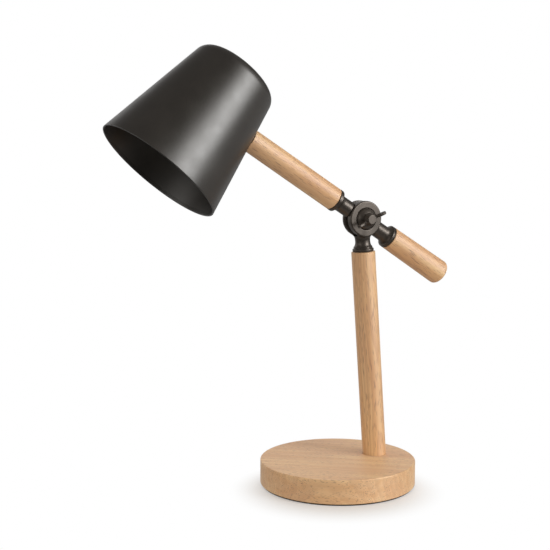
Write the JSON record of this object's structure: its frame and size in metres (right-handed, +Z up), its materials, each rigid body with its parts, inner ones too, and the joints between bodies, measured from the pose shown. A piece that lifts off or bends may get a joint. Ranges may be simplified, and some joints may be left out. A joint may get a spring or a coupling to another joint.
{
  "type": "table lamp",
  "caption": "Table lamp with a round wooden foot, a leaning wooden post, a balanced tilting arm on a forked knuckle and a bucket-shaped metal shade.",
  "frame": {"origin": "centre of the foot's underside, where the lamp stands", "axes": "+Z up, +X from the shade's side towards the short tail of the arm, the lamp lies in the XZ plane"},
  "size_m": [0.3734, 0.16, 0.4427],
  "materials": {
    "wood": "light oiled hardwood with fine short pores",
    "bronze_metal": "satin gunmetal bronze",
    "shade_paint": "satin black-brown enamel",
    "zinc_steel": "bright zinc plate",
    "ballast_steel": "raw rolled steel",
    "foot_pad": "matt foam pad",
    "black_moulding": "fine matt moulding",
    "socket_insert": "white glazed insert",
    "nylon_shim": "dark nylon",
    "opal_glass": "opal white",
    "flex_sheath": "dark sheath"
  },
  "bodies": {
    "base": {"base_pad": "foot_pad", "base_disc": "wood", "ballast_plate": "ballast_steel", "ballast_screw_1": "zinc_steel", "ballast_screw_2": "zinc_steel", "ballast_screw_3": "zinc_steel", "cord_inlet_bush": "black_moulding", "post_rod": "wood", "post_anchor_tube": "zinc_steel", "post_anchor_washer": "zinc_steel", "post_anchor_nut": "zinc_steel", "fork_stud": "zinc_steel", "post_lead": "flex_sheath", "post_fork": "bronze_metal", "pivot_bolt": "bronze_metal", "front_shim": "nylon_shim", "rear_shim": "nylon_shim", "domed_washer": "bronze_metal"},
    "wing_nut": {"wing_nut": "bronze_metal"},
    "arm": {"arm_eye": "bronze_metal", "upper_arm_stud": "zinc_steel", "tail_arm_stud": "zinc_steel", "upper_arm_rod": "wood", "tail_arm_rod": "wood", "arm_lead": "flex_sheath", "shade_nipple": "zinc_steel", "shade_nipple_washer": "zinc_steel", "shade_nipple_nut": "zinc_steel"},
    "shade": {"shade_shell": "shade_paint", "holder_bracket": "zinc_steel", "holder_nipple": "zinc_steel", "holder_nut": "zinc_steel", "holder_cap": "black_moulding", "holder_insert": "socket_insert", "holder_shell": "black_moulding", "holder_lead": "flex_sheath", "bulb_cap": "zinc_steel", "bulb_glass": "opal_glass"}
  },
  "joints": [
    {"name": "arm_tilt", "type": "hinge", "parent": "base", "child": "arm", "pos_m": [0.02639, 0, 0.27383], "axis": [0, 1, 0], "range_deg": [-75, 3]},
    {"name": "shade_swivel", "type": "hinge", "parent": "arm", "child": "shade", "pos_m": [-0.10139, 0, 0.3543], "axis": [-0.8462, 0, 0.5329], "range_deg": [-90, 90]},
    {"name": "wing_nut_turn", "type": "hinge", "parent": "base", "child": "wing_nut", "pos_m": [0.02639, 0, 0.27383], "axis": [0, 1, 0], "range_deg": [-90, 360]}
  ]
}
